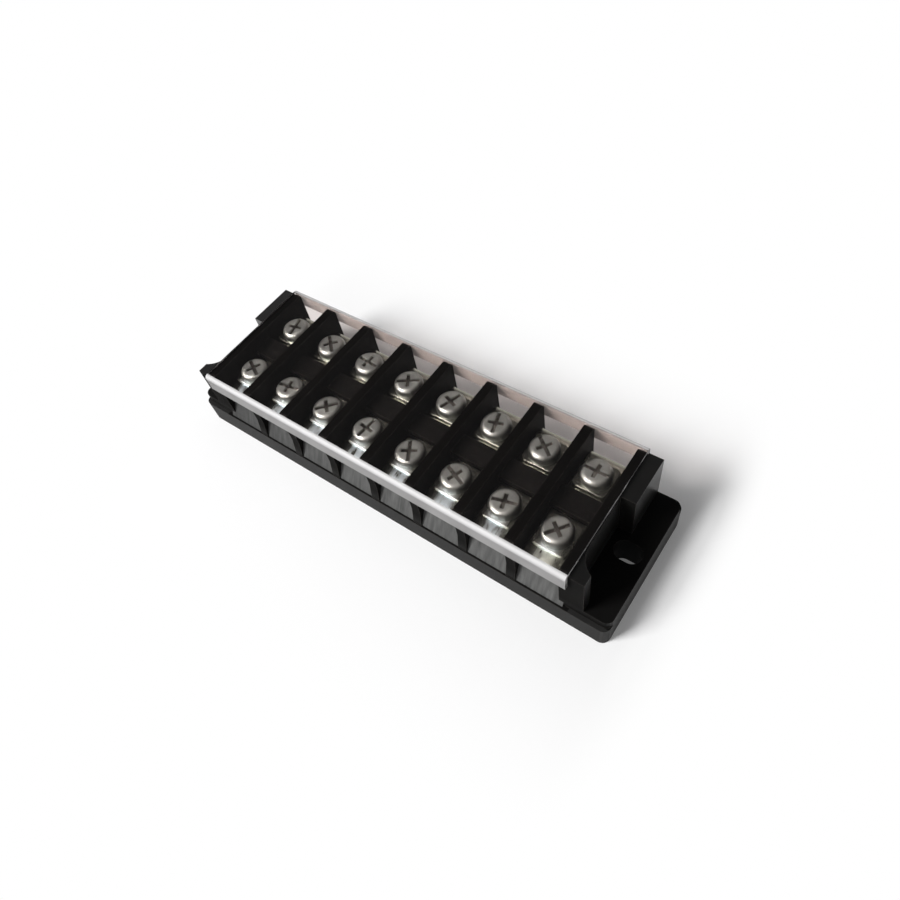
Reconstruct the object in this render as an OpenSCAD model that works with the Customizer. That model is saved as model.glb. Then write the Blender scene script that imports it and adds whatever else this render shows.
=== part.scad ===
// Barrier terminal block: a moulded base with two rows of clamp screws under a clear snap-on cover.
// Frame: origin at the centre of the underside, X along the row of ways, Y to the rear, Z up. Millimetres.

/* [Ways] */
// Number of ways, each with a front and a rear screw
ways = 8; // [2:1:11]
// Distance between neighbouring ways
pitch = 12; // [11:0.5:18]
// Distance of each row of screws from the centre line
row_y = 7.6; // [7.2:0.1:8.6]

/* [Plinth and ears] */
// Width of the plinth, front to rear
base_w = 33.2; // [32.6:0.2:40]
// Height of the plinth
plinth_h = 6.2; // [4:0.2:8]
// Radius of the plinth's upright corners
corner_r = 1.8; // [1:0.2:4]
// Reach of each ear past the outer face of the end partition
ear_l = 8.9; // [8.4:0.1:14]
// Height of the ears
ear_h = 8.4; // [6.8:0.2:11]
// Width of the mounting slots
slot_w = 4.5; // [3.4:0.1:5.4]
// Length of the mounting slots, end to end
slot_l = 6; // [5.6:0.2:6.6]
// Distance of a slot's centre from the end partition
slot_out = 4.5; // [4.2:0.1:5]

/* [Platforms and partitions] */
// Width of the platforms that carry the plates, front to rear
platform_w = 26.8; // [25:0.2:28]
// Height of the platforms
platform_h = 14.4; // [12:0.2:15]
// Step from the plinth's face to the foot of the wire ramps
ramp_in = 0.5; // [0.4:0.1:0.9]
// Rise of the wire ramps above the plinth
ramp_h = 5.6; // [3:0.2:7]
// Thickness of the partitions
partition_t = 2.2; // [1.6:0.1:2.8]
// Step from the plinth's face to the partitions' sloping feet
foot_in = 0.2; // [0.1:0.05:0.3]
// Rise of the partitions' sloping feet above the plinth
foot_h = 4.4; // [2:0.2:6]
// Radius of the partitions' top corners
partition_r = 0.8; // [0.4:0.1:1.4]
// Width of the ridge along the centre line
ridge_w = 5.2; // [3:0.2:6]
// Rise of the ridge above the plates
ridge_over = 1.6; // [0.8:0.1:3]

/* [End posts] */
// Thickness of the end posts outside the end partitions
post_t = 3.2; // [2:0.1:4]
// Distance of the rear post's inner face from the centre line
rear_post_y = 4; // [3:0.2:7]
// Width of the front post's flat outer face
front_post_w = 2.4; // [1.5:0.1:3.5]
// Radius of the hollow that leads into the front post
post_hollow_r = 5.6; // [4.4:0.1:7]

/* [Underside] */
// Thickness of the deck over the cored pockets
deck_t = 3; // [2.4:0.1:4]
// Length of a pocket along the row
pocket_l = 8; // [7:0.2:8.6]
// Wall between a pocket and the platform's outer face
pocket_wall = 1.8; // [1.2:0.1:2.4]
// Thickness of the rib between front and rear pockets
pocket_rib = 2.4; // [1.6:0.1:3]

/* [Bus plates] */
// Width of a plate along the row
plate_l = 8.6; // [8:0.1:8.8]
// Reach of a plate, front to rear
plate_w = 27.4; // [25:0.2:29]
// Thickness of a plate
plate_t = 1.2; // [0.8:0.1:1.4]
// Thickness at the edge of a plate's ends, which slope down from the washers
plate_end_t = 0.4; // [0.3:0.1:0.8]
// Outer radius of the tapped collar under a plate
collar_r = 2.9; // [2.5:0.1:3.2]
// Depth of the tapped collar under a plate
collar_h = 1.8; // [1.2:0.1:2.4]

/* [Screws and washers] */
// Radius of the screw shank
shank_r = 1.72; // [1.5:0.02:1.9]
// Radius of the screw head
head_r = 3.4; // [3:0.1:3.7]
// Height of the screw head
head_h = 2.3; // [1.9:0.1:2.4]
// Rounding of the screw head's top edge
head_edge_r = 1.2; // [0.6:0.1:1.5]
// Reach of the screw past its collar
tip_out = 1.4; // [0.6:0.1:2.4]
// Width of the driver recess
recess_w = 0.9; // [0.7:0.1:1.1]
// Length of the recess's long slot
recess_slot_l = 5.4; // [4.6:0.1:6]
// Depth of the recess's long slot
recess_slot_depth = 1; // [0.6:0.1:1.2]
// Length of the recess's cross arms
recess_cross_l = 3.6; // [3:0.1:4.2]
// Depth of the recess's cross arms
recess_cross_depth = 1.5; // [1.2:0.1:1.7]
// Side of a square clamp washer
washer_s = 7.6; // [7.2:0.1:8.2]
// Thickness of a clamp washer
washer_t = 0.9; // [0.6:0.1:1]
// Corner radius of a clamp washer
washer_corner_r = 0.9; // [0.4:0.1:1.4]

/* [Cover] */
// Thickness of the clear cover
cover_t = 0.8; // [0.6:0.1:1.2]
// Depth of the cover's front and rear lips
lip_h = 4.6; // [3:0.1:5]
// Outer radius of the bends between top and lips
bend_r = 1; // [0.9:0.1:1.8]

/* [Fits] */
// Room between the screw heads and the cover that rests on the partitions
head_room = 1.6; // [1.4:0.1:5]
// Step from the plinth's face in to the cover's lips
cover_in = 0.05; // [0:0.05:0.3]
// Gap between the lips and the partitions' ends
lip_gap = 0.15; // [0.1:0.05:0.4]
// Gap between each end of the cover and the end posts
cover_end_gap = 0.2; // [0.1:0.05:0.5]
// Radial gap between a shank and its hole
shank_gap = 0.08; // [0.04:0.01:0.1]
// Gap around a plate in its tunnel and around its collars
plate_gap = 0.25; // [0.1:0.05:0.4]

/* [Hidden] */
$fn = 64;
row_l = ways * pitch;
end_x = row_l / 2 + partition_t / 2;
base_l = 2 * (end_x + ear_l);
slot_x = end_x + slot_out;
hole_r = shank_r + shank_gap;
plate_top = platform_h + plate_t;
washer_top = plate_top + washer_t;
partition_h = washer_top + head_h + head_room;
shank_l = washer_t + plate_t + collar_h + tip_out;
tip_chamfer = 0.4;
lip_y = base_w / 2 - cover_in - cover_t;
partition_w = 2 * (lip_y - lip_gap);
cover_l = 2 * (end_x - cover_end_gap);
cover_top = partition_h + cover_t;
// How far joined solids reach into each other, and how far cutters pass a face
bite = 1;

FRONT = -1;
REAR = 1;

// Place of way i along the row
function way_x(i) = (i - (ways + 1) / 2) * pitch;
// Angle at which a screw was left when it was tightened
function recess_turn(i, row) = 37 * i + 64 * row;

// Rectangle with round corners, centred
module round_rect(l, w, r) {
    square([l - 2 * r, w], center = true);
    square([l, w - 2 * r], center = true);
    for (x = [-1, 1])
        for (y = [-1, 1])
            translate([x * (l / 2 - r), y * (w / 2 - r)]) circle(r);
}

// Upright outline from height z0 to z1 with round top corners
module round_top(w, z0, z1, r) {
    translate([-w / 2, z0]) square([w, z1 - r - z0]);
    translate([-w / 2 + r, z0]) square([w - 2 * r, z1 - z0]);
    for (y = [-1, 1])
        translate([y * (w / 2 - r), z1 - r]) circle(r);
}

// Extrudes an outline drawn in Y and Z along X, centred at x
module along_row(x, l) {
    translate([x - l / 2, 0, 0]) rotate([90, 0, 90]) linear_extrude(l) children();
}

// Outline on the plinth that leans in from half width y0 to y1 as it rises
module foot(y0, y1, rise) {
    polygon([[bite - y0, plinth_h - bite], [y0 - bite, plinth_h - bite], [y0, plinth_h],
        [y1, plinth_h + rise], [-y1, plinth_h + rise], [-y0, plinth_h]]);
}

// Plain wall at an end of the row
module end_partition(x) {
    along_row(x, partition_t) round_top(partition_w, plinth_h - bite, partition_h, partition_r);
}

// Wall between two ways, with sloping feet below the cover's lips
module partition(x) {
    end_partition(x);
    along_row(x, partition_t) foot(base_w / 2 - foot_in, partition_w / 2, foot_h);
}

// Long body under the plates, with a ramp at each way that guides the wires up
module platform() {
    along_row(0, row_l) {
        translate([-platform_w / 2, plinth_h - bite]) square([platform_w, platform_h - plinth_h + bite]);
        foot(base_w / 2 - ramp_in, platform_w / 2, ramp_h);
    }
}

// Front and rear posts outside the right-hand end partition, with the hollow beside the mounting slot
module end_posts() {
    post_h = partition_h - plinth_h + bite;
    hollow_y = front_post_w - partition_w / 2
        + sqrt(pow(post_hollow_r, 2) - pow(post_hollow_r - post_t, 2));
    translate([end_x, rear_post_y, plinth_h - bite])
        cube([post_t, partition_w / 2 - rear_post_y, post_h]);
    difference() {
        translate([end_x, -partition_w / 2, plinth_h - bite])
            cube([post_t, partition_w / 2 + hollow_y, post_h]);
        translate([end_x + post_hollow_r, hollow_y, plinth_h - 2 * bite])
            cylinder(r = post_hollow_r, h = post_h + 2 * bite);
    }
}

// Raised ear outside the right-hand end partition
module ear() {
    intersection() {
        translate([0, 0, plinth_h - bite])
            linear_extrude(ear_h - plinth_h + bite)
                round_rect(base_l, partition_w, corner_r);
        translate([end_x - bite, -base_w / 2, 0]) cube([ear_l + 2 * bite, base_w, ear_h + bite]);
    }
}

// Cutter for the right-hand mounting slot
module mounting_slot() {
    run = slot_l - slot_w;
    depth = ear_h + 2 * bite;
    translate([slot_x - run / 2, -slot_w / 2, -bite]) cube([run, slot_w, depth]);
    for (x = [-1, 1])
        translate([slot_x + x * run / 2, 0, -bite]) cylinder(r = slot_w / 2, h = depth);
}

// Cutters under way i: the plate's tunnel, the collar holes and the cored pockets
module way_cuts(i) {
    tunnel_l = plate_l + 2 * plate_gap;
    pocket_w = platform_w / 2 - pocket_wall - pocket_rib / 2;
    pocket_y = (platform_w / 2 - pocket_wall + pocket_rib / 2) / 2;
    translate([way_x(i) - tunnel_l / 2, -ridge_w / 2 - bite, platform_h])
        cube([tunnel_l, ridge_w + 2 * bite, plate_t + plate_gap]);
    for (row = [FRONT, REAR]) {
        translate([way_x(i), row * row_y, platform_h - deck_t - bite])
            cylinder(r = collar_r + plate_gap, h = deck_t + 2 * bite);
        translate([way_x(i) - pocket_l / 2, row * pocket_y - pocket_w / 2, -bite])
            cube([pocket_l, pocket_w, platform_h - deck_t + bite]);
    }
}

// One moulding: plinth, ears, platforms, ridge, partitions and end posts
module base() {
    color("#1c1c1f") difference() {
        union() {
            linear_extrude(plinth_h) round_rect(base_l, base_w, corner_r);
            platform();
            translate([-row_l / 2, -ridge_w / 2, platform_h - bite])
                cube([row_l, ridge_w, plate_t + ridge_over + bite]);
            for (i = [1:ways - 1]) partition((i - ways / 2) * pitch);
            for (side = [-1, 1]) end_partition(side * row_l / 2);
            for (side = [0, 1]) mirror([side, 0, 0]) {
                ear();
                end_posts();
            }
        }
        for (side = [0, 1]) mirror([side, 0, 0]) mounting_slot();
        for (i = [1:ways]) way_cuts(i);
    }
}

// Clear channel that rests on the partitions, with a lip over their front and rear ends
module cover() {
    color([0.85, 0.88, 0.9, 0.35]) difference() {
        along_row(0, cover_l)
            round_top(2 * (lip_y + cover_t), cover_top - lip_h, cover_top, bend_r);
        translate([-cover_l / 2 - bite, -lip_y, cover_top - lip_h - bite])
            cube([cover_l + 2 * bite, 2 * lip_y, lip_h - cover_t + bite]);
    }
}

// Outline of a plate from end to end: flat under the washers, sloping down to the wire entries
module plate_outline() {
    end_y = plate_w / 2;
    flat_y = row_y + washer_s / 2;
    polygon([[-end_y, 0], [end_y, 0], [end_y, plate_end_t], [flat_y, plate_t], [-flat_y, plate_t],
        [-end_y, plate_end_t]]);
}

// Conductor of way i: a strip with sloping ends and two tapped collars
module bus_plate(i) {
    color("silver") translate([way_x(i), 0, platform_h]) difference() {
        union() {
            along_row(0, plate_l) plate_outline();
            for (row = [FRONT, REAR])
                translate([0, row * row_y, -collar_h]) cylinder(r = collar_r, h = collar_h + plate_t / 2);
        }
        for (row = [FRONT, REAR])
            translate([0, row * row_y, -collar_h - bite])
                cylinder(r = hole_r, h = collar_h + plate_t + 2 * bite);
    }
}

// Square washer, captive under a screw head
module washer(i, row) {
    color("silver") translate([way_x(i), row * row_y, plate_top]) difference() {
        linear_extrude(washer_t) round_rect(washer_s, washer_s, washer_corner_r);
        translate([0, 0, -bite]) cylinder(r = hole_r, h = washer_t + 2 * bite);
    }
}

// Half outline of the screw head, turned about its axis
module head_outline() {
    intersection() {
        round_top(2 * head_r, 0, head_h, head_edge_r);
        square([head_r, head_h]);
    }
}

// Combined slot and cross, cut from the top of the head
module driver_recess() {
    translate([-recess_slot_l / 2, -recess_w / 2, head_h - recess_slot_depth])
        cube([recess_slot_l, recess_w, recess_slot_depth + bite]);
    for (turn = [0, 90])
        rotate(turn) translate([-recess_cross_l / 2, -recess_w / 2, head_h - recess_cross_depth])
            cube([recess_cross_l, recess_w, recess_cross_depth + bite]);
}

// Clamp screw: pan head, plain shank and chamfered tip
module screw(i, row) {
    color("gainsboro") translate([way_x(i), row * row_y, washer_top]) {
        difference() {
            rotate_extrude() head_outline();
            rotate(recess_turn(i, row)) driver_recess();
        }
        translate([0, 0, tip_chamfer - shank_l]) cylinder(r = shank_r, h = shank_l - tip_chamfer);
        translate([0, 0, -shank_l]) cylinder(r1 = shank_r - tip_chamfer, r2 = shank_r, h = tip_chamfer);
    }
}

base();
cover();
for (i = [1:ways]) {
    bus_plate(i);
    washer(i, FRONT);
    washer(i, REAR);
    screw(i, FRONT);
    screw(i, REAR);
}
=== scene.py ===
import math

import bmesh
import bpy
import numpy as np
from mathutils import Matrix, Vector


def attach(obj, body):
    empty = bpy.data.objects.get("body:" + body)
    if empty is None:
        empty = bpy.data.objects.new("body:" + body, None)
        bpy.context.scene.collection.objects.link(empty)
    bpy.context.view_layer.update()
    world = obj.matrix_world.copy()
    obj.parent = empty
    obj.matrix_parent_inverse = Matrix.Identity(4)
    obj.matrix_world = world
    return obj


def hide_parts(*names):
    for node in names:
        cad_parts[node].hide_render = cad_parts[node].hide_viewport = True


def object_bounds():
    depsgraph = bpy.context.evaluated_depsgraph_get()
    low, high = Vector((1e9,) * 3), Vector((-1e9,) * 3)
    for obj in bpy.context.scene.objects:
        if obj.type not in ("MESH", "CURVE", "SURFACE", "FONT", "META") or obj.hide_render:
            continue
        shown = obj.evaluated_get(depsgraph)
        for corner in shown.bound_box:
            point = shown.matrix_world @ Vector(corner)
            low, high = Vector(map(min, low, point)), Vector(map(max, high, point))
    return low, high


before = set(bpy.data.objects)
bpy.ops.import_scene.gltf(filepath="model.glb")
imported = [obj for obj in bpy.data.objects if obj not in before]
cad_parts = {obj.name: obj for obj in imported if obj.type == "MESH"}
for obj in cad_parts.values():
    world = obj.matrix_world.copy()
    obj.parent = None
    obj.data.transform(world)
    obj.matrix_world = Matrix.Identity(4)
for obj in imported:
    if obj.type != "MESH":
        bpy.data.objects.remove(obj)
cad_low, cad_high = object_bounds()
MM = 0.001

# Moulded base: one black thermoset moulding with plinth, ears, ramps, partitions, posts and centre ridge.
# It is pressed in a steel mould, so its skin is satin with faint flow marks, and its edges are slightly
# rounded by the tool and painted paler, partly as handling wear and partly as a painted highlight.
EDGE_BASE, EDGE_MASK_RADIUS, EDGE_MASK_TURN = 0.16 * MM, 0.25 * MM, (0.98, 0.72)
SHARP, FLAT, SAME = math.radians(32), math.radians(0.4), 0.001 * MM
RAMP_FOOT, RAMP_HEAD = Vector((0, 16.1, 6.2)) * MM, Vector((0, 13.4, 11.8)) * MM
RAMP_X, RAMP_NEAR, DOWNHILL = 47.95 * MM, 0.06 * MM, (1, 0.12, 0.12)
SHEEN_X, LEAST_SHEEN = (-46 * MM, 6 * MM), 0.5
PLINTH_X, PLINTH_Y, LONG_FILL = 57.95 * MM, 16.58 * MM, 0.4
EAR_X, EAR_Y, EAR_Z = 49.3 * MM, 15.6 * MM, 8.3 * MM
WALL_X, WALL_Y, WALL_Z = 49.05 * MM, 15.5 * MM, 8.5 * MM
END_Y, END_Z = 15.4 * MM, (7 * MM, 9.5 * MM)
BLACK = (0.0026, 0.0025, 0.0025, 1), (0.0068, 0.0064, 0.0058, 1)
WORN_AND_SHEEN_EDGE = (0.07, 0.066, 0.059, 1)
RAMP_SHEEN = (0.02, 0.02, 0.02, 1), (0.136, 0.136, 0.133, 1)
SIDE_FILL_TONE = (0.01, 0.0098, 0.0096, 1), (0.03, 0.0295, 0.0287, 1)
END_FILL_TONE = (0.026, 0.0257, 0.025, 1), (0.054, 0.0533, 0.052, 1)
SATIN, MATT, MOULD_GLOSS = (0.45, 0.8), 1.0, 0.3
FLOAT, VECTOR = "NodeSocketFloat", "NodeSocketVector"


def in_scene(name, data):
    """Object of a mesh, lamp or camera, linked to the scene."""
    thing = bpy.data.objects.new(name, data)
    bpy.context.scene.collection.objects.link(thing)
    return thing


def reworked(mesh, *jobs):
    """Runs edit operations on a mesh, one after the other."""
    b = bmesh.new()
    b.from_mesh(mesh)
    for job in jobs:
        job(b)
    b.to_mesh(mesh)
    b.free()


def shaded_smooth(mesh):
    """Marks every face of a mesh as smooth."""
    mesh.polygons.foreach_set("use_smooth", np.ones(len(mesh.polygons), bool))


def softened(node, name, edge):
    """Merged copy of a CAD node in which every edge sharper than SHARP is rounded to the radius edge."""
    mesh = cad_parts[node].data.copy()
    mesh.name = name
    mesh.materials.clear()
    reworked(mesh, lambda b: bmesh.ops.remove_doubles(b, verts=b.verts, dist=SAME),
             lambda b: bmesh.ops.dissolve_limit(b, angle_limit=FLAT, verts=b.verts, edges=b.edges))
    for layer in [a for a in mesh.attributes if a.name == "custom_normal"]:
        mesh.attributes.remove(layer)
    shaded_smooth(mesh)
    piece = in_scene(name, mesh)
    rounding = piece.modifiers.new("rounded_edges", "BEVEL")
    rounding.width = edge
    rounding.segments = 2
    rounding.limit_method = "ANGLE"
    rounding.angle_limit = SHARP
    rounding.loop_slide = False
    rounding.harden_normals = True
    return piece


def feed(tree, node, sockets):
    """Gives each named input of a node a value, or links it to another node's output."""
    for key, value in sockets.items():
        if isinstance(value, bpy.types.NodeSocket):
            tree.links.new(value, node.inputs[key])
        else:
            node.inputs[key].default_value = value


def add(tree, kind, sockets=None, **settings):
    """Adds a shader node with its settings, and feeds its inputs."""
    node = tree.nodes.new(kind)
    for key, value in settings.items():
        setattr(node, key, value)
    feed(tree, node, sockets or {})
    return node


def group(name, inputs, outputs):
    """Empty shader node group with named sockets, and its input and output nodes."""
    tree = bpy.data.node_groups.new(name, "ShaderNodeTree")
    for label, kind, value in inputs:
        tree.interface.new_socket(name=label, in_out="INPUT", socket_type=kind).default_value = value
    for label, kind in outputs:
        tree.interface.new_socket(name=label, in_out="OUTPUT", socket_type=kind)
    return tree, add(tree, "NodeGroupInput").outputs, add(tree, "NodeGroupOutput").inputs


def material(name):
    """Material with a bare Principled shader; gives the material, its tree and the shader."""
    m = bpy.data.materials.new(name)
    m.use_nodes = True
    return m, m.node_tree, m.node_tree.nodes["Principled BSDF"]


def calc(tree, operation, *values):
    """Result of one Math node on the values."""
    return add(tree, "ShaderNodeMath", dict(enumerate(values)), operation=operation).outputs[0]


def vector(tree, operation, *values):
    """Result of one Vector Math node: a number from a dot product or a length, else a vector."""
    n = add(tree, "ShaderNodeVectorMath", dict(enumerate(values)), operation=operation)
    return n.outputs["Value" if operation in ("DOT_PRODUCT", "LENGTH") else "Vector"]


def over(tree, value, limit):
    """Mask of the points at which the value is above the limit."""
    return calc(tree, "GREATER_THAN", value, limit)


def under(tree, value, limit):
    """Mask of the points at which the value is below the limit."""
    return calc(tree, "LESS_THAN", value, limit)


def product(tree, mask, *others):
    """Masks multiplied together."""
    for other in others:
        mask = calc(tree, "MULTIPLY", mask, other)
    return mask


def carried(tree, value, source, target=(0, 1), smooth=False):
    """Value carried from the source range to the target range, evenly or in a soft S, held at the ends."""
    ranges = {"From Min": source[0], "From Max": source[1], "To Min": target[0], "To Max": target[1]}
    n = add(tree, "ShaderNodeMapRange", {"Value": value, **ranges},
            interpolation_type="SMOOTHSTEP" if smooth else "LINEAR")
    return n.outputs["Result"]


def mixed(tree, factor, first, second):
    """Number mixed from first to second by the factor."""
    return add(tree, "ShaderNodeMix", {0: factor, 2: first, 3: second}).outputs[0]


def blended(tree, factor, first, second, how="MIX"):
    """Colour mixed from first to second by the factor, or to their product with how as MULTIPLY."""
    n = add(tree, "ShaderNodeMix", {0: factor, 6: first, 7: second}, data_type="RGBA", blend_type=how)
    return n.outputs[2]


def object_place(tree):
    """Object coordinates of a point."""
    return add(tree, "ShaderNodeTexCoord").outputs["Object"]


def split(tree, place):
    """X, Y and Z of a vector."""
    return add(tree, "ShaderNodeSeparateXYZ", {0: place}).outputs


def bump(tree, height, strength, depth):
    """Normal with a relief of the strength and depth."""
    relief = {"Height": height, "Strength": strength, "Distance": depth}
    return add(tree, "ShaderNodeBump", relief).outputs[0]


# Fine: grain of the skin. Broad: slow patches, as of flow in a mould, of handling or of plating.
grain, take, give = group("skin_grain", [("Vector", VECTOR, (0, 0, 0)), ("Fine Scale", FLOAT, 2500),
                                         ("Broad Scale", FLOAT, 120)], [("Fine", FLOAT), ("Broad", FLOAT)])
for label, detail in (("Fine", 3.0), ("Broad", 4.0)):
    noise = {"Vector": take["Vector"], "Scale": take[f"{label} Scale"], "Detail": detail}
    grain.links.new(add(grain, "ShaderNodeTexNoise", noise).outputs["Fac"], give[label])


def grained(tree, place, fine, broad):
    """Fine and Broad values of the skin's grain at the two scales."""
    scales = {"Vector": place, "Fine Scale": fine, "Broad Scale": broad}
    return add(tree, "ShaderNodeGroup", scales, node_tree=grain).outputs


# Mask of convex and concave edges: how far the normal, averaged over a small radius, leaves the true one.
edge_wear_and_sheen, take, give = group("edge_wear_and_sheen_mask", [("Radius", FLOAT, 0.3 * MM)], [("Mask", FLOAT)])
soft_normal = add(edge_wear_and_sheen, "ShaderNodeBevel", {"Radius": take["Radius"]}, samples=6).outputs[0]
true_normal = add(edge_wear_and_sheen, "ShaderNodeNewGeometry").outputs["True Normal"]
likeness = vector(edge_wear_and_sheen, "DOT_PRODUCT", soft_normal, true_normal)
edge_wear_and_sheen.links.new(carried(edge_wear_and_sheen, likeness, EDGE_MASK_TURN), give["Mask"])

black, t, skin = material("black_thermoset")
place = object_place(t)
xyz = split(t, place)
out_x, out_y = calc(t, "ABSOLUTE", xyz["X"]), calc(t, "ABSOLUTE", xyz["Y"])
g = grained(t, place, fine=3200, broad=140)
edges = add(t, "ShaderNodeGroup", {"Radius": EDGE_MASK_RADIUS}, node_tree=edge_wear_and_sheen).outputs["Mask"]
tone = blended(t, g["Broad"], *BLACK)
# Edges are painted paler, partly as handling wear and partly as a painted highlight along them.
tone = blended(t, product(t, edges, g["Broad"]), tone, WORN_AND_SHEEN_EDGE)
# The plinth's end faces are painted lighter, a painted fill light, and less so its long faces and the ears'
# sides.
long_face = product(t, over(t, out_y, PLINTH_Y), LONG_FILL)
ear_side = product(t, over(t, out_y, EAR_Y), under(t, out_y, PLINTH_Y), over(t, out_x, EAR_X),
                   under(t, xyz["Z"], EAR_Z))
tone = blended(t, calc(t, "MAXIMUM", long_face, ear_side), tone, blended(t, g["Broad"], *SIDE_FILL_TONE))
tone = blended(t, over(t, out_x, PLINTH_X), tone, blended(t, g["Broad"], *END_FILL_TONE))
# The ramps are painted grey in streaks, a painted sheen where they catch the light, most of all to the
# right.
# A point is on a ramp if it lies in the ramp's plane, between its foot and its head and between the end
# posts.
lean = (RAMP_HEAD - RAMP_FOOT).cross(Vector((1, 0, 0))).normalized()
folded = add(t, "ShaderNodeCombineXYZ", {1: out_y, 2: xyz["Z"]}).outputs[0]
in_plane = calc(t, "COMPARE", vector(t, "DOT_PRODUCT", folded, lean), lean.dot(RAMP_FOOT), RAMP_NEAR)
ramp_mid = (RAMP_FOOT + RAMP_HEAD) / 2
in_rise = calc(t, "COMPARE", xyz["Z"], ramp_mid.z, RAMP_HEAD.z - ramp_mid.z + RAMP_NEAR)
ramp_face = product(t, in_plane, in_rise, under(t, out_x, RAMP_X))
downhill = add(t, "ShaderNodeMapping", {"Vector": place, "Scale": DOWNHILL}).outputs[0]
sheen_streaks = add(t, "ShaderNodeTexNoise", {"Vector": downhill, "Scale": 1400.0, "Detail": 5.0}).outputs["Fac"]
sheen_streaks = product(t, sheen_streaks, carried(t, xyz["X"], SHEEN_X, (LEAST_SHEEN, 1)))
tone = blended(t, ramp_face, tone, blended(t, sheen_streaks, *RAMP_SHEEN))
# The partitions' ends are matt. The end walls and the posts' sides between them, out of the wires' reach,
# keep the gloss of the mould.
rough = carried(t, product(t, g["Fine"], g["Broad"]), (0, 1), SATIN)
rough = mixed(t, product(t, over(t, out_y, END_Y), carried(t, xyz["Z"], END_Z)), rough, MATT)
gloss = product(t, over(t, out_x, WALL_X), under(t, out_y, WALL_Y), over(t, xyz["Z"], WALL_Z))
feed(t, skin, {"Base Color": tone, "Roughness": rough, "Specular IOR Level": 0.08, "Coat Weight": gloss,
               "Coat Roughness": MOULD_GLOSS, "Normal": bump(t, g["Fine"], strength=0.12, depth=0.02 * MM)})

base = softened("base", "moulded_base", EDGE_BASE)
base.data.materials.append(black)
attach(base, "block")
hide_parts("base")

# Bus plates: brass strip with sloping ends and two collars drawn down and tapped, nickel plated.
# Each slides into its tunnel under the centre ridge and is held there by the screws.
EDGE_PLATE, ROLLED, STRIP_ROUGH = 0.12 * MM, (1, 0.05, 1), (0.2, 0.38)
ROWS, WAYS = ("front", "rear"), range(1, 9)
PITCH, ROW_Y = 12 * MM, 7.6 * MM
TRACK, STREAK, TARNISH_X = (3.1 * MM, 0.9 * MM), (0.3, 0.52), (30 * MM, 44 * MM)
DULL_STRIP = (0.3, 0.31, 0.265, 1), (0.5, 0.52, 0.46, 1)
GLINT_STRIP = (0.82, 0.94, 1.0, 1), (0.94, 1.0, 0.88, 1)

# Across: distance from the middle line of the nearest way. Radius: distance from the nearest screw's axis.
about, take, give = group("about_screw", [("Vector", VECTOR, (0, 0, 0))],
                          [("Across", FLOAT), ("Radius", FLOAT)])
xyz = split(about, take["Vector"])
across = calc(about, "SUBTRACT", calc(about, "WRAP", xyz["X"], PITCH, 0.0), PITCH / 2)
along = calc(about, "SUBTRACT", calc(about, "ABSOLUTE", xyz["Y"]), ROW_Y)
offset = add(about, "ShaderNodeCombineXYZ", {0: across, 1: along}).outputs[0]
about.links.new(calc(about, "ABSOLUTE", across), give["Across"])
about.links.new(vector(about, "LENGTH", offset), give["Radius"])


def worn_glint_track(tree, place):
    """Mask of the track along the middle of each way, outside the front screws, that wires wear and that is
    painted bright as a painted highlight.
    """
    across = add(tree, "ShaderNodeGroup", {"Vector": place}, node_tree=about).outputs["Across"]
    outside = under(tree, split(tree, place)["Y"], -ROW_Y)
    return product(tree, carried(tree, across, TRACK, smooth=True), outside)


nickel, t, metal = material("nickel_strip")
place = object_place(t)
drawn = add(t, "ShaderNodeMapping", {"Vector": place, "Scale": ROLLED}).outputs[0]
g, s = grained(t, drawn, fine=3600, broad=900), grained(t, place, fine=1800, broad=230)
# Wires have worn the track, streaked in their direction, and it is painted bright there as a painted
# highlight. The plates to the right are yellower.
worn_glint = product(t, worn_glint_track(t, place), carried(t, g["Broad"], STREAK))
glint_tone = blended(t, carried(t, split(t, place)["X"], TARNISH_X), *GLINT_STRIP)
tone = blended(t, worn_glint, blended(t, s["Broad"], *DULL_STRIP), glint_tone)
feed(t, metal, {"Base Color": tone, "Metallic": 1, "Roughness": carried(t, worn_glint, (0, 1), STRIP_ROUGH),
                "Normal": bump(t, g["Fine"], strength=0.2, depth=0.01 * MM)})

for i in WAYS:
    plate = softened(f"bus_plate_{i}", f"plated_strip_{i}", EDGE_PLATE)
    plate.data.materials.append(nickel)
    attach(plate, "block")
    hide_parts(f"bus_plate_{i}")

# Clamp washers: square, stamped from steel sheet and nickel plated, so their upper edges are rolled over.
# Each is captive under its screw head, and the partitions keep it from turning.
EDGE_WASHER, STAMPED_ROUGH, RUB_ROUGH = 0.16 * MM, (0.16, 0.34), 0.58
DULL_STAMPING, GLINT_STAMPING = ((0.36, 0.38, 0.33, 1), (0.6, 0.63, 0.56, 1)), (0.86, 0.95, 0.97, 1)

stamped, t, metal = material("nickel_stamping")
place = object_place(t)
s = grained(t, place, fine=2600, broad=330)
# The wires' track runs on over the front washers as a matt rub, painted bright as a painted highlight.
worn_glint = worn_glint_track(t, place)
rough = mixed(t, worn_glint, carried(t, s["Broad"], (0, 1), STAMPED_ROUGH), RUB_ROUGH)
tone = blended(t, worn_glint, blended(t, s["Broad"], *DULL_STAMPING), GLINT_STAMPING)
feed(t, metal, {"Base Color": tone, "Metallic": 1, "Roughness": rough,
                "Normal": bump(t, s["Fine"], strength=0.06, depth=0.01 * MM)})

for row in ROWS:
    for i in WAYS:
        washer = softened(f"{row}_washer_{i}", f"square_washer_{row}_{i}", EDGE_WASHER)
        washer.data.materials.append(stamped)
        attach(washer, f"{row}_washer_{i}")
        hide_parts(f"{row}_washer_{i}")

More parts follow.
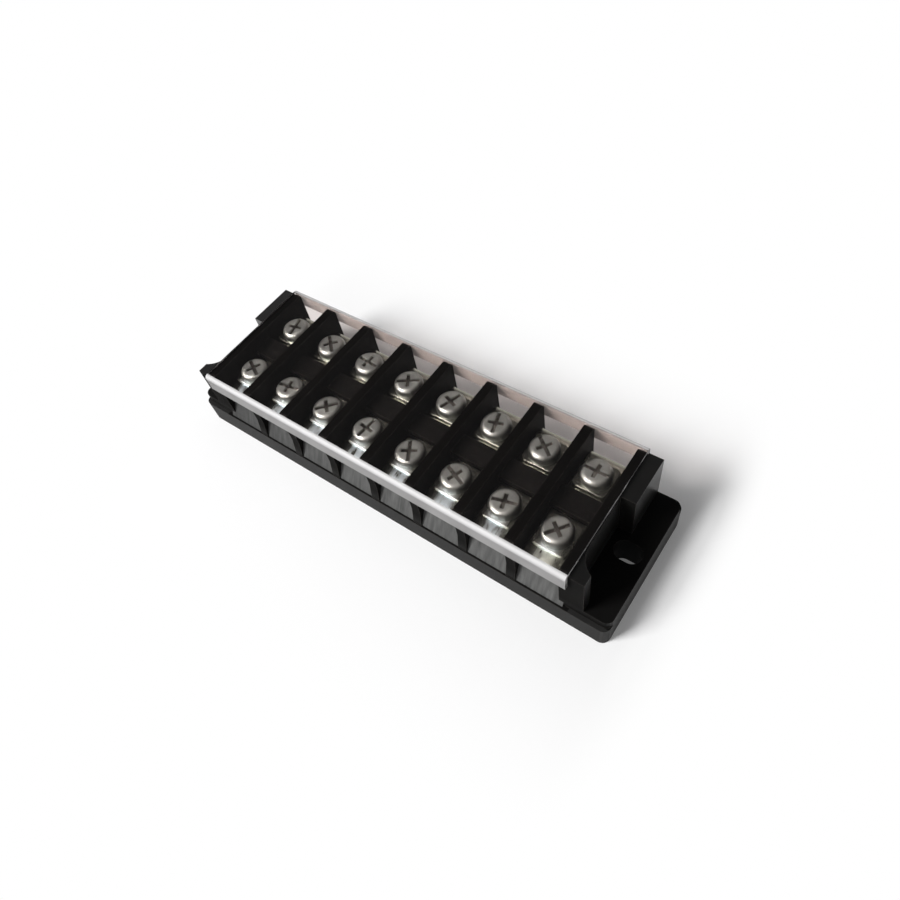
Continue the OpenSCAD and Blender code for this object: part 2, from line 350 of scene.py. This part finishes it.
# Clamp screws: cold-headed steel with a slot and cross recess and a rolled thread, nickel plated.
# They screw down into the bus plates' collars and carry their washers with them.
EDGE_SCREW, SCREW_ROUGH = 0.09 * MM, (0.3, 0.52)
RECESS_R, RECESS_FOOT, RECESS_DEEP = 2.72 * MM, 16.55 * MM, (18.5 * MM, 18.3 * MM)
SHANK_R, ROOT_R, TIP_R, RIM_SHADE_R = 1.74 * MM, 1.42 * MM, 1.3 * MM, (2.2 * MM, 3.3 * MM)
SEAT_Z, TIP_Z, IN_HEAD, THREAD = 16.5 * MM, 11.2 * MM, 0.1 * MM, 0.6 * MM
RUNOUT_FROM, RUNOUT_L, FLANK_GAIN, ROOT_FLAT = 0.7 * MM, 0.5 * MM, 1.5, 0.3
ROUND_STEPS, RISE_STEPS, TIP_STEP, TIP_MERGE = 48, 110, 1e-9, 1e-8
PLATING, RIM_SHADE = ((0.54, 0.59, 0.57, 1), (0.82, 0.89, 0.86, 1)), (0.29, 0.31, 0.297, 1)
RECESS_SHADE = (0.16, 0.158, 0.15, 1), (0.5, 0.495, 0.47, 1)


def threaded_shank(x, y):
    """Tube round the axis at x, y. Its radius at height z and turn a is the root radius plus the flank
    height times a flattened triangle wave of z / pitch - a / 2 pi, held under a cone at the tip and run out
    to the full radius under the head. The first ring closes to a point at the tip."""
    turn = np.linspace(0, 2 * np.pi, ROUND_STEPS, endpoint=False)
    up = np.concatenate([[0, TIP_STEP], np.linspace(0, 1, RISE_STEPS)]) * (SEAT_Z + IN_HEAD - TIP_Z)
    z, a = np.meshgrid(TIP_Z + up, turn, indexing="ij")
    wave = np.abs(2 * np.mod((z - TIP_Z) / THREAD - a / (2 * np.pi), 1) - 1)
    r = ROOT_R + (SHANK_R - ROOT_R) * np.clip(FLANK_GAIN * wave - ROOT_FLAT, 0, 1)
    r = np.minimum(r, TIP_R + (z - TIP_Z))
    runout = np.clip((z - SEAT_Z + RUNOUT_FROM) / RUNOUT_L, 0, 1)
    r = r + (SHANK_R - r) * runout
    r[0] = 0
    return np.stack([x + r * np.cos(a), y + r * np.sin(a), z], -1)


def tube_faces(rows, columns):
    """Corner numbers of the quads of a grid that is joined round in its second direction."""
    i, j = np.meshgrid(np.arange(rows - 1) * columns, np.arange(columns), indexing="ij")
    k = (j + 1) % columns
    return np.stack([i + j, i + k, i + columns + k, i + columns + j], -1).reshape(-1, 4)


bright, t, metal = material("bright_nickel")
place = object_place(t)
z = split(t, place)["Z"]
radius = add(t, "ShaderNodeGroup", {"Vector": place}, node_tree=about).outputs["Radius"]
rings = add(t, "ShaderNodeCombineXYZ", {0: radius, 2: z}).outputs[0]
g, s = grained(t, rings, fine=5200, broad=700), grained(t, place, fine=2400, broad=420)
# Towards its edge each head is painted darker, as painted shade.
tone = blended(t, carried(t, radius, RIM_SHADE_R, smooth=True), blended(t, s["Broad"], *PLATING), RIM_SHADE)
# Painted shade darkens the driver recess: the part of the head near the axis and below its top.
recess = product(t, under(t, radius, RECESS_R), over(t, z, RECESS_FOOT), carried(t, z, RECESS_DEEP))
tone = blended(t, recess, tone, blended(t, s["Broad"], *RECESS_SHADE))
feed(t, metal, {"Base Color": tone, "Metallic": 1, "Roughness": carried(t, s["Broad"], (0, 1), SCREW_ROUGH),
                "Normal": bump(t, g["Fine"], strength=0.1, depth=0.01 * MM)})


def below_seat(b):
    """Faces of a screw that lie under its head."""
    return [f for f in b.faces if f.calc_center_median().z < SEAT_Z - SAME]


for row in ROWS:
    for i in WAYS:
        screw = softened(f"{row}_screw_{i}", f"clamp_screw_{row}_{i}", EDGE_SCREW)
        head = screw.data
        reworked(head, lambda b: bmesh.ops.delete(b, geom=below_seat(b), context="FACES"))
        count = len(head.vertices)
        corners = np.empty(count * 3)
        head.vertices.foreach_get("co", corners)
        x, y = (i - (len(WAYS) + 1) / 2) * PITCH, ROW_Y if row == "rear" else -ROW_Y
        shank = threaded_shank(x, y)
        points = np.concatenate([corners.reshape(-1, 3), shank.reshape(-1, 3)])
        faces = [list(p.vertices) for p in head.polygons] + (tube_faces(*shank.shape[:2]) + count).tolist()
        screw.data = bpy.data.meshes.new(head.name)
        screw.data.from_pydata(points, [], faces)
        shaded_smooth(screw.data)
        reworked(screw.data, lambda b: bmesh.ops.remove_doubles(b, verts=b.verts, dist=TIP_MERGE))
        screw.data.materials.append(bright)
        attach(screw, f"{row}_screw_{i}")
        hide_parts(f"{row}_screw_{i}")

# Cover: clear plastic channel, extruded and cut to length, with frosted lips that grip the partitions.
# It snaps on over the partitions. Its lips are painted white along the bends as a painted highlight, and
# its ends are left as sawn.
COVER_L, COVER_TOP, LIP_Z = 97.8 * MM, 21.2 * MM, 16.6 * MM
LIP_OUT, SHEET, BEND, INNER_BEND = 16.55 * MM, 0.8 * MM, 1.0 * MM, 0.2 * MM
CLEAR, CLEAR_SHADE, FROSTED_SHADE = (0.86, 0.8, 0.775, 1), (0.93, 0.9, 0.89, 1), (0.88, 0.87, 0.865, 1)
FROSTED = (0.2, 0.196, 0.196, 1), (0.3, 0.294, 0.294, 1)
BEND_HIGHLIGHT, BEND_HIGHLIGHT_Z, REAR_TINT = (0.57, 0.563, 0.563, 1), (19.8 * MM, 20.8 * MM), (1.22, 1.14, 1.08, 1)
SAWN_DULL_AND_GLINT, GLINT_PATCH = ((0.13, 0.127, 0.125, 1), (0.8, 0.79, 0.78, 1)), (0.52, 0.68)
LIP_ALPHA, LIP_ROUGH, SAWN_ROUGH, COVER_SHARP = (0.62, 0.85), (0.42, 0.6), (0.3, 0.6), math.radians(35)
LIP_STEPS, ARC_STEPS, TOP_STEPS, LENGTH_STEPS = 8, 15, 10, 30
TOP_FACE, LIP_FACE, CUT_FACE = range(3)


def channel_path(half, top, bend):
    """Path from the foot of the front lip over the top to the foot of the rear lip: straight up to the
    bend, a quarter circle of the bend radius, straight across, and the same in reverse."""
    a = np.linspace(0, np.pi / 2, ARC_STEPS)
    lip = np.stack([np.full(LIP_STEPS, -half), np.linspace(LIP_Z, top - bend, LIP_STEPS)], -1)
    arc = np.stack([-half + bend - bend * np.cos(a), top - bend + bend * np.sin(a)], -1)
    half_top = np.stack([np.linspace(-half + bend, 0, TOP_STEPS), np.full(TOP_STEPS, top)], -1)
    front = np.concatenate([lip, arc[1:], half_top[1:]])
    back = front[-2::-1] * (-1, 1)
    return np.concatenate([front, back])


def mixed_surface(tree, factor, first, second):
    """Gives a material the first shader, and by the factor the second."""
    both = add(tree, "ShaderNodeMixShader", {0: factor, 1: first.outputs[0], 2: second.outputs[0]})
    tree.links.new(both.outputs[0], tree.nodes["Material Output"].inputs["Surface"])


def lit_through(tree, shader, shade):
    """Lets the lamps' light pass straight through a sheet, tinted by the shade."""
    lamp_ray = add(tree, "ShaderNodeLightPath").outputs["Is Shadow Ray"]
    mixed_surface(tree, lamp_ray, shader, add(tree, "ShaderNodeBsdfTransparent", {"Color": shade}))


# The section is a ring of the outer path and the inner one in reverse, carried along X and closed by caps.
outer = channel_path(LIP_OUT, COVER_TOP, BEND)
inner = channel_path(LIP_OUT - SHEET, COVER_TOP - SHEET, INNER_BEND)
ring = np.concatenate([outer, inner[::-1]])
stations = np.linspace(-COVER_L / 2, COVER_L / 2, LENGTH_STEPS)
m = len(ring)
points = np.concatenate([np.repeat(stations, m)[:, None], np.tile(ring, (len(stations), 1))], 1)
k = np.arange(len(outer) - 1)
cap = np.stack([k, k + 1, m - 2 - k, m - 1 - k], -1)
faces = np.concatenate([tube_faces(len(stations), m), cap[:, ::-1], cap + (len(stations) - 1) * m])
mesh = bpy.data.meshes.new("clear_cover")
mesh.from_pydata(points, [], faces.tolist())
face_mid = np.abs(points[faces].mean(1))
flat_top, sawn_end = face_mid[:, 1] < LIP_OUT - BEND + SAME, face_mid[:, 0] > COVER_L / 2 - SAME
face_kind = np.where(sawn_end, CUT_FACE, np.where(flat_top, TOP_FACE, LIP_FACE))
mesh.polygons.foreach_set("material_index", face_kind)
shaded_smooth(mesh)
reworked(mesh, lambda b: bmesh.ops.recalc_face_normals(b, faces=b.faces))
mesh.set_sharp_from_angle(angle=COVER_SHARP)
cover = in_scene("clear_cover", mesh)

clear, t, glass = material("clear_sheet")
waves = grained(t, object_place(t), fine=900, broad=90)["Broad"]
feed(t, glass, {"Base Color": CLEAR, "Roughness": 0.03, "IOR": 1.5, "Transmission Weight": 1,
                "Normal": bump(t, waves, strength=0.05, depth=0.05 * MM)})
lit_through(t, glass, CLEAR_SHADE)

frosted, t, milk = material("frosted_lip")
place = object_place(t)
xyz = split(t, place)
g = grained(t, place, fine=2600, broad=180)
# The rear lip is painted paler and warmer than the front one.
tone = blended(t, over(t, xyz["Y"], 0.0), blended(t, g["Broad"], *FROSTED), REAR_TINT, "MULTIPLY")
# Towards the bends the lip is painted white, a painted highlight, and grows more opaque.
rise = carried(t, xyz["Z"], BEND_HIGHLIGHT_Z)
feed(t, milk, {"Base Color": blended(t, rise, tone, BEND_HIGHLIGHT), "Alpha": carried(t, rise, (0, 1), LIP_ALPHA),
               "Roughness": carried(t, g["Fine"], (0, 1), LIP_ROUGH)})
lit_through(t, milk, FROSTED_SHADE)

# The sawn ends are matt, whitish in patches, partly as frosted cuts and partly as painted glints, and dull
# between.
sawn, t, cut = material("sawn_end")
g = grained(t, object_place(t), fine=2200, broad=260)
feed(t, cut, {"Base Color": blended(t, carried(t, g["Broad"], GLINT_PATCH), *SAWN_DULL_AND_GLINT),
              "Roughness": carried(t, g["Fine"], (0, 1), SAWN_ROUGH)})

for look in (clear, frosted, sawn):
    cover.data.materials.append(look)
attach(cover, "cover")
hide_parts("cover")

# Stage: a plain pale floor under soft studio light, with one large lamp at the front left.
# The horizon is pale and the ceiling dark, so glossy faces stay deep while sloping ones pick up light.
# The sky that is seen, also in metal and glass, stays pale to a greater height than the sky that lights.
FLOOR_HALF, FADE, END_FADE = 6.0, (0.002, 0.04), (3, 1, 1)
NEAR_GLOW, END_GLOW, END_SOFT = 0.1, 0.5, 0.006
PAPER, WHITE, CEILING = (0.94, 0.94, 0.94, 1), (1, 1, 1, 1), (0.07, 0.07, 0.072, 1)
HORIZON, SEEN_BAND, LIGHT_BAND = (0.97, 0.97, 0.97, 1), (0.3, 0.6), (-0.05, 0.65)
LAMP_PLACE, LAMP_TARGET = Vector((-0.64, -0.92, 0.88)), Vector((0, 0, 0.01))
LAMP_SIZE, LAMP_POWER = 0.52, 28.5


def seen_rays(tree):
    """Mask of the rays that show the backdrop: the camera's, and those that metal and glass send on."""
    rays = add(tree, "ShaderNodeLightPath").outputs
    seen = calc(tree, "ADD", rays["Is Camera Ray"], rays["Is Glossy Ray"])
    return calc(tree, "MAXIMUM", seen, rays["Is Transmission Ray"])


floor_mesh = bpy.data.meshes.new("floor")
corner = np.array([[-1, -1, 0], [1, -1, 0], [1, 1, 0], [-1, 1, 0]]) * FLOOR_HALF
floor_mesh.from_pydata(corner, [], [[0, 1, 2, 3]])
floor = in_scene("floor", floor_mesh)
# Away from the object the floor turns white, sooner past its ends. Close by it keeps the shadow.
paper, t, sheet = material("floor_paper")
feed(t, sheet, {"Base Color": PAPER, "Roughness": 0.9, "Specular IOR Level": 0.0})
past = vector(t, "SUBTRACT", vector(t, "ABSOLUTE", object_place(t)), cad_high)
past = vector(t, "MAXIMUM", past, (0, 0, 0))
apart = vector(t, "LENGTH", vector(t, "MULTIPLY", past, END_FADE))
glow = carried(t, apart, FADE, (NEAR_GLOW, 1), smooth=True)
end_glow = carried(t, split(t, past)["X"], (0, END_SOFT), (0, END_GLOW), smooth=True)
glow = product(t, seen_rays(t), calc(t, "MAXIMUM", glow, end_glow))
mixed_surface(t, glow, sheet, add(t, "ShaderNodeEmission", {"Color": WHITE, "Strength": 1.0}))
floor_mesh.materials.append(paper)

light = bpy.data.lights.new("key_lamp", "AREA")
light.size, light.energy = LAMP_SIZE, LAMP_POWER
lamp = in_scene("key_lamp", light)
lamp.location = LAMP_PLACE
lamp.rotation_euler = (LAMP_TARGET - LAMP_PLACE).to_track_quat("-Z", "Y").to_euler()

world = bpy.data.worlds.new("studio")
bpy.context.scene.world = world
world.use_nodes = True
t = world.node_tree
rise = split(t, add(t, "ShaderNodeTexCoord").outputs["Generated"])["Z"]
lighting = blended(t, carried(t, rise, LIGHT_BAND, smooth=True), HORIZON, CEILING)
backdrop = blended(t, carried(t, rise, SEEN_BAND, smooth=True), WHITE, CEILING)
feed(t, t.nodes["Background"], {"Color": blended(t, seen_rays(t), lighting, backdrop)})

# Camera: above the right front corner, turned a little about its own axis, as the photograph was taken.
LENS, SENSOR, NEAREST, STAND = 27.83, 36, 0.005, Vector((0.07521, -0.06070, 0.13803))
HEADING, TILT, ROLL = math.radians(-46.96), math.radians(54.66), math.radians(-13.91)
forward = Vector((math.sin(HEADING) * math.cos(TILT), math.cos(HEADING) * math.cos(TILT), -math.sin(TILT)))
level = Vector((math.cos(HEADING), -math.sin(HEADING), 0))
right = level * math.cos(ROLL) - forward.cross(level) * math.sin(ROLL)
above = right.cross(forward)
camera_data = bpy.data.cameras.new("camera")
camera_data.lens = LENS
camera_data.sensor_width = SENSOR
camera_data.clip_start = NEAREST
camera = in_scene("camera", camera_data)
camera.matrix_world = Matrix((right, above, -forward)).transposed().to_4x4()
camera.location = STAND
bpy.context.scene.camera = camera
bpy.context.scene.view_settings.view_transform = "Standard"
